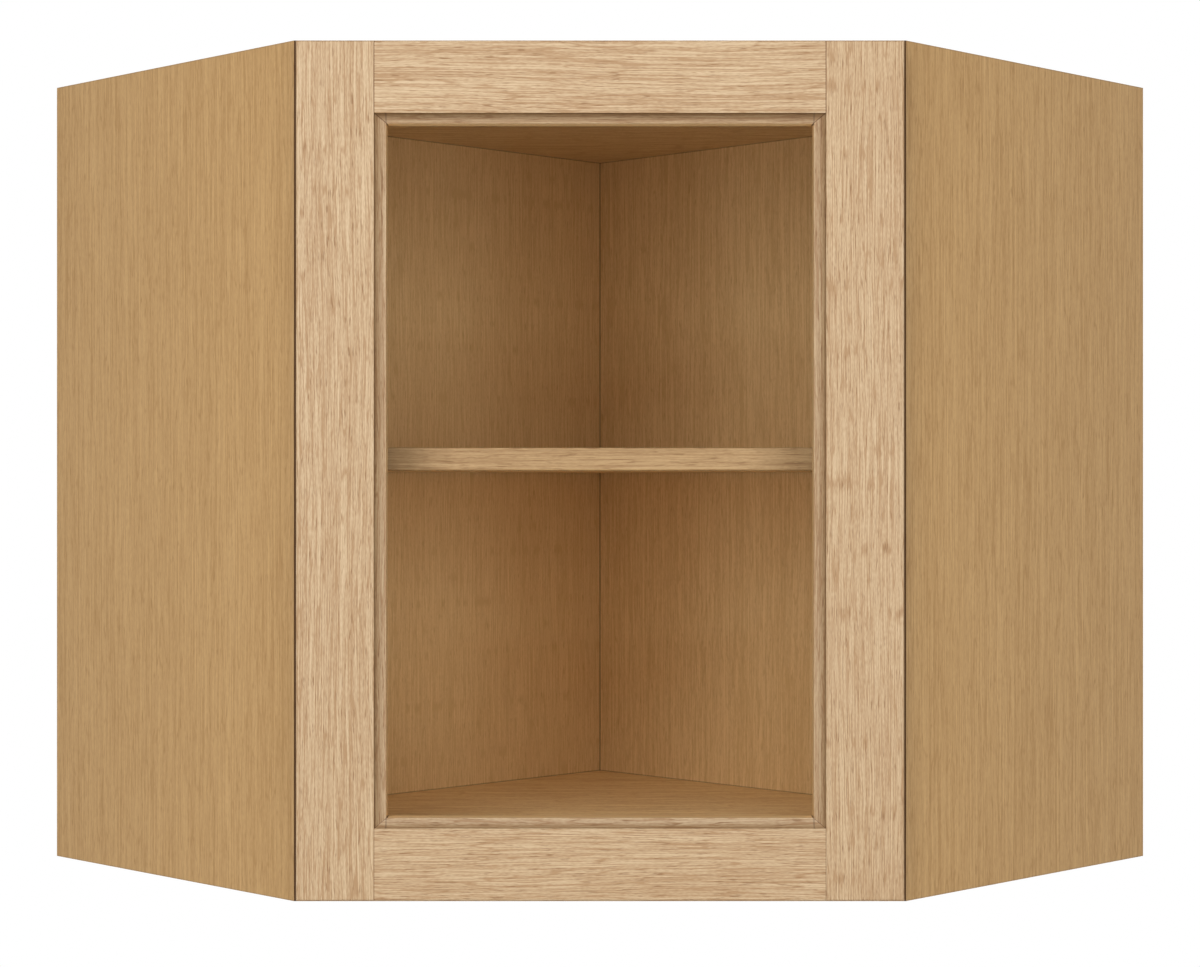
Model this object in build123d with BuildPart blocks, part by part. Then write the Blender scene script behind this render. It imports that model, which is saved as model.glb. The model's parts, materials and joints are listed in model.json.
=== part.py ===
from build123d import *

import os
from math import sqrt

# A diagonal corner wall cabinet with an open frame door and one adjustable shelf.
#
# Frame: +X to the right seen from the room, +Y back into the room corner, +Z up, millimetres.
# The origin is the middle of the bounding box at its lowest level, so the door's front face
# is at the lowest Y and the room corner at the highest.

# ---- The box -------------------------------------------------------------------------------
wall_run = 609.6  # along each wall, from the room corner to a side panel's outer face
side_depth = 303.0  # how far a side panel stands out from its wall
cabinet_height = 609.6
side_thickness = 12.7
back_thickness = 12.7
deck_thickness = 9.5  # top and bottom panels
dado_depth = 6.35  # how deep decks and backs are let into the side panels
bottom_recess = 12.7  # underside of the bottom panel above the cabinet's lowest edge
hanging_rail_thickness = 12.7  # the space between a back panel and its wall
hanging_rail_height = 63.5
block_length = 60.0  # corner blocks glued under the bottom panel
block_width = 19.0
side_block_from_wall = 120.0
front_block_from_centre = 90.0

# ---- The face frame, hidden behind the closed door --------------------------------------------
frame_thickness = 19.05
frame_stile_width = 21.3  # seen from the front, between a side panel and the opening
frame_rail_height = 38.1
frame_tenon_length = 12.0
frame_tenon_thickness = 6.4
frame_tenon_height = 24.0
mortise_end_clearance = 0.3  # in the face frame and in the door

# ---- The door: stiles run full height, rails are coped and tenoned between them -----------------
door_reveal = 4.0  # the box shows this far past the door on every side
door_gap = 3.2  # between the door's back and the box
door_thickness = 19.05
door_stile_width = 62.7  # with its moulded edge
door_rail_width = 57.15  # with its moulded edge
sticking_width = 7.2  # the moulded edge: a quirk, then a cove down to a square edge
sticking_depth = 5.6
quirk_depth = 1.8
door_edge_radius = 1.2
tenon_length = 25.4
tenon_thickness = 6.4
tenon_height = 36.0
tenon_from_front = 12.0
bumper_radius = 5.0
bumper_inset = 12.0
bumper_clearance = 0.3

# ---- The shelf -----------------------------------------------------------------------------------
shelf_thickness = 16.7
shelf_height = 305.3  # underside above the cabinet's lowest edge
shelf_setback = 60.0  # front edge behind the front of the box
shelf_strip_thickness = 5.0
shelf_strip_radius = 1.0
shelf_clearance = 2.0  # to the walls all round
pin_radius = 2.5
pin_hole_clearance = 0.05
pin_shank_length = 9.0
pin_hole_depth = 10.0
pin_pad_reach = 10.0
pin_pad_width = 9.0
pin_pad_thickness = 2.0
pin_pitch = 32.0
pin_hole_count = 5
front_pins_from_wall = 174.0
back_pins_from_corner = 308.0

# ---- The hinges: a cup in the door, an arm wrapped round the frame stile, one pin between --------
hinge_from_door_end = 88.9
hinge_pin_inset = 7.0  # hinge axis in from the door's outer edge
hinge_pin_lift = 11.0  # hinge axis in front of the box
hinge_pin_radius = 1.2
hinge_pin_running_clearance = 0.06
hinge_pin_seat_clearance = 0.02
cup_radius = 17.5
cup_edge_distance = 3.0
cup_depth = 12.2
cup_wall = 1.0
cup_bore_clearance = 0.05
cup_flange_radius = 18.6
cup_flange_thickness = 1.0
cup_wing_width = 20.0
cup_wing_height = 55.0
cup_wing_offset = 5.0
cup_wing_corner = 5.0
cup_screw_offset = 9.5
cup_screw_spacing = 45.0
cheek_thickness = 1.6
cheek_clearance = 0.4
cheek_margin = 3.2  # metal of a cheek round the hinge axis
knuckle_radius = 2.0
arm_strap_thickness = 1.6
arm_nose_width = 8.0
arm_nose_reach = 12.0
arm_bend_radius = 1.6
arm_flange_width = 18.0
arm_flange_start = 16.0
arm_plate_height = 40.0
arm_plate_depth = 17.0
arm_screw_spacing = 26.0
spring_thickness = 0.5
spring_width = 6.0
spring_clearance = 0.35
spring_tip = -1.5  # the leaf's ends and bends, along X from the hinge axis
spring_bend_start = 3.0
spring_bend_end = 9.0
spring_root = 24.0
screw_radius = 1.75
screw_clearance = 0.05
screw_head_radius = 3.5
cup_screw_length = 11.0
cup_screw_head_height = 1.4
arm_screw_length = 15.0
arm_screw_head_height = 2.0

# ---- Worked out from the sizes above ------------------------------------------------------------
diagonal = sqrt(2)
face_half = (wall_run - side_depth) / diagonal
face_to_corner = (wall_run + side_depth) / diagonal
overall_depth = door_thickness + door_gap + face_to_corner
corner_y = overall_depth / 2
face_y = corner_y - face_to_corner
door_back_y = face_y - door_gap
door_front_y = door_back_y - door_thickness
frame_back_y = face_y + frame_thickness
side_inner = wall_run - side_thickness  # along a wall, to a side panel's inner face
back_inner = hanging_rail_thickness + back_thickness  # off a wall, to a back panel's inner face
frame_outer_half = face_half - side_thickness * diagonal
frame_opening_half = frame_outer_half - frame_stile_width
ceiling_z = cabinet_height - deck_thickness
door_half = face_half - door_reveal
door_bottom = door_reveal
door_top = cabinet_height - door_reveal
door_opening_half = door_half - door_stile_width
hinge_x = -door_half + hinge_pin_inset
hinge_y = face_y - hinge_pin_lift
hinge_levels = {"lower": door_bottom + hinge_from_door_end, "upper": door_top - hinge_from_door_end}
cup_x = -door_half + cup_edge_distance + cup_radius
pin_axis_z = shelf_height - pin_radius
left, right = -1, 1

os.makedirs("parts", exist_ok=True)


def finish(piece, name):
    """Name a finished piece and write it."""
    piece.part.label = name
    export_step(piece.part, f"parts/{name}.step")


def corner_point(along, off, hand):
    """The plan point this far along one wall from the room corner, and this far off that wall."""
    return (hand * (along - off) / diagonal, corner_y - (along + off) / diagonal)


def diagonal_cut(depth_behind_face, along):
    """How far off the wall a line parallel to the face lies, at a distance along the wall."""
    return wall_run + side_depth - depth_behind_face * diagonal - along


# ---- Box -------------------------------------------------------------------------------------------
def deck_points():
    """Top and bottom panel in plan: backs, side dados and the back of the face frame."""
    edge = side_inner + dado_depth
    front = diagonal_cut(frame_thickness, edge)
    return [
        corner_point(back_inner, back_inner, left),
        corner_point(edge, back_inner, left),
        corner_point(edge, front, left),
        corner_point(edge, front, right),
        corner_point(edge, back_inner, right),
    ]


def back_points(hand):
    """Back panel in plan. The right one butts against the left one in the room corner."""
    start = hanging_rail_thickness if hand == left else back_inner
    return [
        corner_point(start, hanging_rail_thickness, hand),
        corner_point(side_inner + dado_depth, hanging_rail_thickness, hand),
        corner_point(side_inner + dado_depth, back_inner, hand),
        corner_point(start, back_inner, hand),
    ]


def shelf_pin_plane(where, hand):
    """Plane on the wall of a side or back panel, at its pins: Z out of the wall, Y upright."""
    if where == "side":
        x, y = corner_point(side_inner, front_pins_from_wall, hand)
        normal = (-hand, 1, 0)
    else:
        x, y = corner_point(back_pins_from_corner, back_inner, hand)
        normal = (-hand, -1, 0)
    return Plane(origin=(x, y, pin_axis_z), x_dir=(-normal[1], normal[0], 0), z_dir=normal)


def bore_pin_holes(where, hand):
    """The column of shelf pin holes in the panel that is open."""
    with BuildSketch(shelf_pin_plane(where, hand)) as holes:
        with GridLocations(0, pin_pitch, 1, pin_hole_count):
            Circle(pin_radius + pin_hole_clearance)
    extrude(holes.sketch, amount=-pin_hole_depth, mode=Mode.SUBTRACT)


def side_panel(hand):
    """Side panel square to its wall, mitred flush with the face, with dados for decks and back."""
    with BuildPart() as panel:
        with BuildSketch():
            Polygon(
                corner_point(side_inner, 0, hand),
                corner_point(wall_run, 0, hand),
                corner_point(wall_run, side_depth, hand),
                corner_point(side_inner, side_depth + side_thickness, hand),
            )
        extrude(amount=cabinet_height)
        for level in (bottom_recess, ceiling_z):
            with BuildSketch(Plane.XY.offset(level)):
                Polygon(*deck_points())
            extrude(amount=deck_thickness, mode=Mode.SUBTRACT)
        with BuildSketch():
            Polygon(*back_points(hand))
        extrude(amount=cabinet_height, mode=Mode.SUBTRACT)
        bore_pin_holes("side", hand)
    return panel


def back_panel(hand):
    """Full-height back panel on its hanging rails."""
    with BuildPart() as panel:
        with BuildSketch():
            Polygon(*back_points(hand))
        extrude(amount=cabinet_height)
        bore_pin_holes("back", hand)
    return panel


def deck(level):
    """Top or bottom panel."""
    with BuildPart() as panel:
        with BuildSketch(Plane.XY.offset(level)):
            Polygon(*deck_points())
        extrude(amount=deck_thickness)
    return panel


def hanging_rail(hand, low):
    """Rail behind a back panel, flush with the wall plane. The left ones run into the corner."""
    start = 0 if hand == left else hanging_rail_thickness
    with BuildPart() as rail:
        with BuildSketch(Plane.XY.offset(low)):
            Polygon(
                corner_point(start, 0, hand),
                corner_point(side_inner, 0, hand),
                corner_point(side_inner, hanging_rail_thickness, hand),
                corner_point(start, hanging_rail_thickness, hand),
            )
        extrude(amount=hanging_rail_height)
    return rail


for hand, side in ((left, "left"), (right, "right")):
    finish(side_panel(hand), f"{side}_side_panel")
    finish(back_panel(hand), f"{side}_back_panel")
    finish(hanging_rail(hand, 0), f"{side}_lower_hanging_rail")
    finish(hanging_rail(hand, cabinet_height - hanging_rail_height), f"{side}_upper_hanging_rail")
finish(deck(ceiling_z), "top_panel")
finish(deck(bottom_recess), "bottom_panel")

with BuildPart() as corner_blocks:
    for hand in (left, right):
        with BuildSketch():
            Polygon(
                corner_point(side_inner, side_block_from_wall, hand),
                corner_point(side_inner, side_block_from_wall + block_length, hand),
                corner_point(side_inner - block_width, side_block_from_wall + block_length, hand),
                corner_point(side_inner - block_width, side_block_from_wall, hand),
            )
            with Locations((hand * front_block_from_centre, frame_back_y + block_width / 2)):
                Rectangle(block_length, block_width)
        extrude(amount=bottom_recess)
finish(corner_blocks, "corner_blocks")


# ---- Face frame --------------------------------------------------------------------------------------
frame_rail_levels = {"bottom": 0, "top": cabinet_height - frame_rail_height}


def frame_tenon(hand, low, length, mode=Mode.ADD):
    """Tenon of a frame rail, or with its length and mode changed the mortise for it."""
    middle_y = face_y + frame_thickness / 2
    with Locations((hand * (frame_opening_half + length / 2), middle_y, low + frame_rail_height / 2)):
        Box(length, frame_tenon_thickness, frame_tenon_height, mode=mode)


def frame_stile(hand):
    """Frame stile whose outer edge is bevelled at 45 degrees to lie on the side panel."""
    with BuildPart() as stile:
        with BuildSketch():
            Polygon(
                (hand * frame_opening_half, face_y),
                (hand * frame_outer_half, face_y),
                (hand * (frame_outer_half + frame_thickness), frame_back_y),
                (hand * frame_opening_half, frame_back_y),
            )
        extrude(amount=cabinet_height)
        for low in frame_rail_levels.values():
            frame_tenon(hand, low, frame_tenon_length + mortise_end_clearance, Mode.SUBTRACT)
        if hand == left:
            bore_arm_screw_holes()
    return stile


def frame_rail(low):
    """Frame rail tenoned between the stiles, flush with their fronts."""
    with BuildPart() as rail:
        with BuildSketch(Plane.XY.offset(low)):
            with Locations((0, face_y + frame_thickness / 2)):
                Rectangle(2 * frame_opening_half, frame_thickness)
        extrude(amount=frame_rail_height)
        for hand in (left, right):
            frame_tenon(hand, low, frame_tenon_length)
    return rail


arm_screw_planes = [
    Plane(
        origin=(-frame_opening_half, face_y + arm_plate_depth / 2, level + offset),
        x_dir=(0, 1, 0),
        z_dir=(1, 0, 0),
    )
    for level in hinge_levels.values()
    for offset in (-arm_screw_spacing / 2, arm_screw_spacing / 2)
]


def bore_arm_screw_holes():
    """Screw holes of both hinge arms, in the inner edge of the hinge side's frame stile."""
    for plane in arm_screw_planes:
        with BuildSketch(plane) as hole:
            Circle(screw_radius + screw_clearance)
        extrude(hole.sketch, amount=-arm_screw_length, mode=Mode.SUBTRACT)


finish(frame_stile(left), "face_frame_left_stile")
finish(frame_stile(right), "face_frame_right_stile")
for name, low in frame_rail_levels.items():
    finish(frame_rail(low), f"face_frame_{name}_rail")


# ---- Door ----------------------------------------------------------------------------------------------
def moulded_profile(width, place, outward):
    """Section of a door stile or rail: square at the outer edge, and at the inner edge a quirk
    below the face and a cove that flattens out at the square edge of the opening.

    place turns a distance in from the outer edge and a depth behind the face into sketch
    coordinates, and outward is the sketch direction from the opening to the outer edge.
    """
    face_edge = width - sticking_width
    with BuildLine() as outline:
        Line(place(0, door_thickness), place(0, 0))
        Line(place(0, 0), place(face_edge, 0))
        Line(place(face_edge, 0), place(face_edge, quirk_depth))
        TangentArc(place(width, sticking_depth), place(face_edge, quirk_depth), tangent=outward)
        Line(place(width, sticking_depth), place(width, door_thickness))
        Line(place(width, door_thickness), place(0, door_thickness))
    make_face(outline.edges())


def stile_blank(hand):
    """Door stile before its mortises and bores, with an eased front edge."""
    with BuildPart() as blank:
        with BuildSketch(Plane.XY.offset(door_bottom)):
            moulded_profile(
                door_stile_width,
                lambda inward, depth: (hand * (door_half - inward), door_front_y + depth),
                (hand, 0),
            )
        extrude(amount=door_top - door_bottom)
        front_edges = blank.faces().sort_by(Axis.Y)[0].edges()
        outer_edge = front_edges.filter_by(Axis.Z).sort_by(Axis.X)[0 if hand == left else -1]
        fillet([outer_edge] + front_edges.filter_by(Axis.X), door_edge_radius)
    return blank


tenon_levels = {"bottom": door_bottom + door_rail_width / 2, "top": door_top - door_rail_width / 2}
tenon_y = door_front_y + tenon_from_front


def door_stile(hand):
    """Door stile with a mortise at each end, and the hinge cups' bores on the hinge side."""
    depth = tenon_length + mortise_end_clearance
    with BuildPart() as stile:
        add(stile_blank(hand).part)
        for level in tenon_levels.values():
            with Locations((hand * (door_opening_half + depth / 2), tenon_y, level)):
                Box(depth, tenon_thickness, tenon_height, mode=Mode.SUBTRACT)
        if hand == left:
            for level in hinge_levels.values():
                with BuildSketch(cup_plane(level)):
                    Circle(cup_radius + cup_bore_clearance)
                extrude(amount=cup_depth, mode=Mode.SUBTRACT)
                with BuildSketch(cup_plane(level)):
                    with Locations(*cup_screw_places):
                        Circle(screw_radius + screw_clearance)
                extrude(amount=cup_screw_length, mode=Mode.SUBTRACT)
    return stile


def door_rail(name):
    """Door rail: its ends are coped over the stiles' moulded edges, with a tenon behind."""
    outer_edge_z = door_bottom if name == "bottom" else door_top
    inward_sign = 1 if name == "bottom" else -1
    with BuildPart() as rail:
        with BuildSketch(Plane.YZ):
            moulded_profile(
                door_rail_width,
                lambda inward, depth: (door_front_y + depth, outer_edge_z + inward_sign * inward),
                (0, -inward_sign),
            )
        extrude(amount=door_opening_half + sticking_width, both=True)
        front_edges = rail.faces().sort_by(Axis.Y)[0].edges().filter_by(Axis.X).sort_by(Axis.Z)
        fillet(front_edges[0 if name == "bottom" else -1], door_edge_radius)
        for hand in (left, right):
            add(stile_blank(hand).part, mode=Mode.SUBTRACT)
            with Locations((hand * (door_opening_half + tenon_length / 2), tenon_y, tenon_levels[name])):
                Box(tenon_length, tenon_thickness, tenon_height)
    return rail


cup_screw_places = [(cup_screw_offset, -cup_screw_spacing / 2), (cup_screw_offset, cup_screw_spacing / 2)]


def cup_plane(level):
    """Plane on the door's back at a hinge cup's centre: X inward, Y up, Z into the door."""
    return Plane(origin=(cup_x, door_back_y, level), x_dir=(1, 0, 0), z_dir=(0, -1, 0))


finish(door_stile(left), "door_left_stile")
finish(door_stile(right), "door_right_stile")
finish(door_rail("bottom"), "door_bottom_rail")
finish(door_rail("top"), "door_top_rail")

with BuildPart() as door_bumpers:
    with BuildSketch(Plane(origin=(0, door_back_y, 0), x_dir=(1, 0, 0), z_dir=(0, -1, 0))):
        with Locations(
            (door_half - bumper_inset, door_bottom + bumper_inset),
            (door_half - bumper_inset, door_top - bumper_inset),
        ):
            Circle(bumper_radius)
    extrude(amount=bumper_clearance - door_gap)
finish(door_bumpers, "door_bumpers")


# ---- Hinges ----------------------------------------------------------------------------------------------
def axis_plane(level):
    """Plane square to the hinge axis at a hinge's middle: X inward, Y out into the room."""
    return Plane(origin=(hinge_x, hinge_y, level), x_dir=(1, 0, 0), z_dir=(0, 0, -1))


def bore_hinge_axis(level, clearance):
    """A hole for the hinge pin through the piece that is open."""
    with BuildSketch(axis_plane(level)) as hole:
        Circle(hinge_pin_radius + clearance)
    extrude(hole.sketch, amount=cup_radius / 2, both=True, mode=Mode.SUBTRACT)


def hinge_arm(level):
    """Arm: a knuckle rolled on the pin, a strap out of the cup and along the frame's face, and
    a plate screwed to the inner edge of the frame stile."""
    strap_middle = arm_strap_thickness / 2
    frame_edge = -frame_opening_half - hinge_x
    with BuildPart() as arm:
        with BuildSketch(axis_plane(level)):
            Circle(knuckle_radius)
            with BuildLine() as strap:
                FilletPolyline(
                    (0, knuckle_radius - strap_middle),
                    (arm_nose_reach + strap_middle, knuckle_radius - strap_middle),
                    (arm_nose_reach + strap_middle, strap_middle - hinge_pin_lift),
                    (frame_edge + arm_strap_thickness, strap_middle - hinge_pin_lift),
                    radius=arm_bend_radius,
                )
            trace(strap.line, arm_strap_thickness)
        extrude(amount=arm_nose_width / 2, both=True)
        with BuildSketch(axis_plane(level)):
            with Locations((arm_flange_start, -hinge_pin_lift)):
                Rectangle(
                    frame_edge + arm_strap_thickness - arm_flange_start,
                    arm_strap_thickness,
                    align=(Align.MIN, Align.MIN),
                )
        extrude(amount=arm_flange_width / 2, both=True)
        with BuildSketch(axis_plane(level)):
            with Locations((frame_edge, arm_strap_thickness - hinge_pin_lift)):
                Rectangle(
                    arm_strap_thickness,
                    arm_strap_thickness + arm_plate_depth,
                    align=(Align.MIN, Align.MAX),
                )
        extrude(amount=arm_plate_height / 2, both=True)
        bore_hinge_axis(level, hinge_pin_running_clearance)
        for plane in arm_screw_planes:
            with BuildSketch(plane):
                Circle(screw_radius + screw_clearance)
            extrude(amount=arm_strap_thickness, mode=Mode.SUBTRACT)
    return arm


def hinge_cup(level):
    """Pressed cup with a flange, two screw wings and a cheek each side of the arm's knuckle."""
    bottom = cup_depth - cup_wall
    axis_depth = hinge_pin_lift - door_gap
    cheek_inner = arm_nose_width / 2 + cheek_clearance
    with BuildPart() as cup:
        with BuildSketch(cup_plane(level)):
            Circle(cup_radius)
        extrude(amount=cup_depth)
        with BuildSketch(cup_plane(level)):
            Circle(cup_flange_radius)
            with Locations((cup_wing_offset, 0)):
                RectangleRounded(cup_wing_width, cup_wing_height, cup_wing_corner)
            with Locations(*cup_screw_places):
                Circle(screw_radius + screw_clearance, mode=Mode.SUBTRACT)
        extrude(amount=-cup_flange_thickness)
        with BuildSketch(cup_plane(level).offset(-cup_flange_thickness)):
            Circle(cup_radius - cup_wall)
        extrude(amount=cup_flange_thickness + bottom, mode=Mode.SUBTRACT)
        with BuildSketch(cup_plane(level).offset(axis_depth - cheek_margin)):
            with Locations((hinge_x - cup_x + cheek_margin, 0)):
                Rectangle(
                    cup_radius, 2 * (cheek_inner + cheek_thickness), align=(Align.MAX, Align.CENTER)
                )
                Rectangle(
                    cup_radius, 2 * cheek_inner, align=(Align.MAX, Align.CENTER), mode=Mode.SUBTRACT
                )
            Circle(cup_radius - cup_wall / 2, mode=Mode.INTERSECT)
        extrude(amount=bottom - axis_depth + cheek_margin)
        bore_hinge_axis(level, hinge_pin_seat_clearance)
    return cup


def hinge_pin(level):
    """Pin through both cheeks and the knuckle."""
    half_length = arm_nose_width / 2 + cheek_clearance + cheek_thickness
    with BuildPart() as pin:
        with BuildSketch(axis_plane(level)):
            Circle(hinge_pin_radius)
        extrude(amount=half_length, both=True)
    return pin


def hinge_spring(level):
    """Leaf on the cup's bottom whose bent end bears on the knuckle and draws the door shut."""
    middle = spring_thickness / 2
    seat = cup_depth - cup_wall + door_gap - hinge_pin_lift - middle
    tip = knuckle_radius + spring_clearance + middle
    with BuildPart() as spring:
        with BuildSketch(axis_plane(level)):
            with BuildLine() as leaf:
                Polyline(
                    (spring_tip, tip), (spring_bend_start, tip), (spring_bend_end, seat), (spring_root, seat)
                )
            trace(leaf.line, spring_thickness)
        extrude(amount=spring_width / 2, both=True)
    return spring


def screw(plane, seat, length, head_height):
    """Pan head screw whose head sits this far above the plane, added to the group that is open."""
    with BuildSketch(plane.offset(seat)) as head:
        Circle(screw_head_radius)
    extrude(head.sketch, amount=head_height)
    with BuildSketch(plane.offset(seat)) as shank:
        Circle(screw_radius)
    extrude(shank.sketch, amount=-(length + seat))


for name, level in hinge_levels.items():
    finish(hinge_arm(level), f"hinge_arm_{name}")
    finish(hinge_pin(level), f"hinge_pin_{name}")
    finish(hinge_spring(level), f"hinge_spring_{name}")

cups = [hinge_cup(level).part for level in hinge_levels.values()]
with BuildPart() as hinge_cups:
    add(cups)
finish(hinge_cups, "hinge_cups")

with BuildPart() as hinge_arm_screws:
    for plane in arm_screw_planes:
        screw(plane, arm_strap_thickness, arm_screw_length, arm_screw_head_height)
finish(hinge_arm_screws, "hinge_arm_screws")

with BuildPart() as hinge_cup_screws:
    for level in hinge_levels.values():
        for across, up in cup_screw_places:
            out_of_door = Plane(
                origin=(cup_x + across, door_back_y, level + up), x_dir=(1, 0, 0), z_dir=(0, 1, 0)
            )
            screw(out_of_door, cup_flange_thickness, cup_screw_length, cup_screw_head_height)
finish(hinge_cup_screws, "hinge_cup_screws")


# ---- Shelf -------------------------------------------------------------------------------------------------
def shelf_points(front, back):
    """Shelf outline in plan between two depths behind the face, or to the room corner."""
    edge = side_inner - shelf_clearance
    wall = back_inner + shelf_clearance
    front_off = diagonal_cut(front, edge)
    if back is None:
        rear = [
            corner_point(edge, wall, right),
            corner_point(wall, wall, right),
            corner_point(edge, wall, left),
        ]
    else:
        back_off = diagonal_cut(back, edge)
        rear = [corner_point(edge, back_off, right), corner_point(edge, back_off, left)]
    return [corner_point(edge, front_off, left), corner_point(edge, front_off, right)] + rear


board_front = shelf_setback + shelf_strip_thickness

with BuildPart() as shelf_board:
    with BuildSketch(Plane.XY.offset(shelf_height)):
        Polygon(*shelf_points(board_front, None))
    extrude(amount=shelf_thickness)
finish(shelf_board, "shelf_board")

with BuildPart() as shelf_edge_strip:
    with BuildSketch(Plane.XY.offset(shelf_height)):
        Polygon(*shelf_points(shelf_setback, board_front))
    extrude(amount=shelf_thickness)
    front_face = shelf_edge_strip.faces().sort_by(Axis.Y)[0]
    fillet(front_face.edges().filter_by(Axis.X), shelf_strip_radius)
finish(shelf_edge_strip, "shelf_edge_strip")

with BuildPart() as shelf_pins:
    for hand in (left, right):
        for where in ("side", "back"):
            wall_plane = shelf_pin_plane(where, hand)
            with BuildSketch(wall_plane):
                Circle(pin_radius)
            extrude(amount=-pin_shank_length)
            upright = Plane(origin=wall_plane.origin, x_dir=wall_plane.z_dir, z_dir=-wall_plane.x_dir)
            with BuildSketch(upright):
                Polygon(
                    (0, pin_radius),
                    (pin_pad_reach, pin_radius),
                    (pin_pad_reach, pin_radius - pin_pad_thickness),
                    (pin_pad_reach / 2, -pin_radius),
                    (0, -pin_radius),
                )
            extrude(amount=pin_pad_width / 2, both=True)
finish(shelf_pins, "shelf_pins")
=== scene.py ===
import json
from math import cos, pi, radians, sin, sqrt

import bmesh
import bpy
import numpy as np
from bpy.props import FloatProperty, FloatVectorProperty, PointerProperty
from mathutils import Matrix, Vector


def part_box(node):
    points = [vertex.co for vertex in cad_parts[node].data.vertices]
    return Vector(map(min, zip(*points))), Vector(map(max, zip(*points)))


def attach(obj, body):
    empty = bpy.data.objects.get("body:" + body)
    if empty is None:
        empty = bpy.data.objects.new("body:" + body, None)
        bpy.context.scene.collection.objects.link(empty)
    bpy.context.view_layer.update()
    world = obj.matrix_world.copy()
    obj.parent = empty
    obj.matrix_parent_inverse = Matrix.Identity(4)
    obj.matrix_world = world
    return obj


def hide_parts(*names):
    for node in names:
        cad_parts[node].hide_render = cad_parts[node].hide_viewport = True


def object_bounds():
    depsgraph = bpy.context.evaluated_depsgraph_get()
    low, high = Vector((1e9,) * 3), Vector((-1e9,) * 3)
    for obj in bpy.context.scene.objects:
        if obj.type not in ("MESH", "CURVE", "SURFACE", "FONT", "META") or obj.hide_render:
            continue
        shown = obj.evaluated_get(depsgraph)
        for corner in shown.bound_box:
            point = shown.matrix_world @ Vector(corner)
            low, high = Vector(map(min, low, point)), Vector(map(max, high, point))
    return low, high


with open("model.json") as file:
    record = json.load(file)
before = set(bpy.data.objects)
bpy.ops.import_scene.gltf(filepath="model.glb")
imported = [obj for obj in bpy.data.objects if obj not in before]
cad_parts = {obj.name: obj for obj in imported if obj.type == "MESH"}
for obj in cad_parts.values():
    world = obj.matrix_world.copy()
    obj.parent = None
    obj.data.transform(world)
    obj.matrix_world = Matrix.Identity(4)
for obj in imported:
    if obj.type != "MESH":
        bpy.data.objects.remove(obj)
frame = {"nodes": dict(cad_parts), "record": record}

bl_info = {
    "name": "Corner Wall Cabinet",
    "version": (1, 0, 0),
    "blender": (4, 5, 0),
    "location": "3D View > Sidebar > Cabinet",
    "description": "Dresses a diagonal corner wall cabinet with its moulded open door, oak finishes and studio",
    "category": "Object",
}

cad_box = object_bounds()
MM = 0.001
LEFT_WALL = (-1 / sqrt(2), -1 / sqrt(2), 0)
RIGHT_WALL = (1 / sqrt(2), -1 / sqrt(2), 0)
UP = (0, 0, 1)
SIDEWAYS = (1, 0, 0)
INWARD = (0, 1, 0)
DAYLIGHT = (1.0, 0.985, 0.96)
PATTERN_STEP = (137.0, 53.0, 611.0)
INSIDE_VENEER = {"wave": 0.4, "strength": 0.3, "ply": True, "relief": 0.12}
LEVEL_VENEER = {**INSIDE_VENEER, "ring": 4.0, "contrast": 0.8}


def srgb(red, green, blue):
    """A colour read off a screen, 0 to 255, as the linear values that Blender's colour sockets hold."""
    return tuple((((np.array((red, green, blue)) / 255 + 0.055) / 1.055) ** 2.4).tolist())


def span(node):
    """A node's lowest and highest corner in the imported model, as arrays in metres."""
    low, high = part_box(node)
    return np.array(low), np.array(high)


def hinge_levels():
    """The heights of the lower and the upper hinge pin's middle."""
    return [np.mean([corner[2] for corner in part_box(f"hinge_pin_{level}")]) for level in ("lower", "upper")]


ZINC = srgb(196, 194, 188)
stile_low, stile_high = span("door_left_stile")
rail_low, rail_high = span("door_top_rail")
swing = next(joint for joint in frame["record"]["behaviour"]["joints"] if joint["name"] == "door_swing")


def length(name, description, default):
    """A size in metres that the sidebar shows as a distance."""
    return FloatProperty(name=name, description=description, default=default, min=0.0, precision=5,
                         subtype="DISTANCE", unit="LENGTH")


def colour(name, description, *screen):
    """A colour swatch, its default given in screen values."""
    return FloatVectorProperty(name=name, description=description, default=srgb(*screen), size=3,
                               min=0.0, max=1.0, subtype="COLOR")


def share(name, description, default, top=1.0):
    """A plain number between nothing and a top value."""
    return FloatProperty(name=name, description=description, default=default, min=0.0, max=top, subtype="FACTOR")


class CabinetDoorSizes(bpy.types.PropertyGroup):
    """Sizes of the open frame door and its moulded edge."""

    stile_width: length("Stile width", "Upright member, with its moulded edge", float(stile_high[0] - stile_low[0]))
    rail_width: length("Rail width", "Cross member, with its moulded edge", float(rail_high[2] - rail_low[2]))
    stile_moulding: length("Stile moulding", "Width of the moulded edge of the stiles seen from the front", 0.0081)
    rail_moulding: length("Rail moulding", "Width of the moulded edge of the rails seen from the front", 0.0066)
    moulding_depth: length("Moulding depth", "How far the moulding goes down from the face", 0.0056)
    quirk_depth: length("Quirk depth", "Straight step between the face and the cove", 0.0018)
    edge_radius: length("Edge radius", "Round on the door's outer front edges", 0.0012)
    arris: length("Arris", "Sanded round on the moulding's sharp edges", 0.0003)
    back_arris: length("Back arris", "Sanded round on the door's back edges", 0.0005)
    # Painted shade in the moulding: how far it runs out over the cove from the quirk.
    shade_reach: length("Shade reach", "How far the painted shade in the quirk runs out over the cove", 0.0022)
    joint_gap: length("Joint gap", "Open line between a rail's end and its stile", 0.0001)
    joint_margin: length("Joint margin", "How far the dark of a joint runs into the rail", 0.001)
    reveal: length("Reveal", "Front edge of the box that shows beside the door", 0.004)
    cup_from_axis: length("Cup from axis", "Centre of a hinge cup, in from the hinge axis", 0.0135)
    cup_bore_radius: length("Cup bore radius", "Bore in the hinge stile's back", 0.01755)
    cup_bore_depth: length("Cup bore depth", "Depth of that bore", 0.0123)


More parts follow.
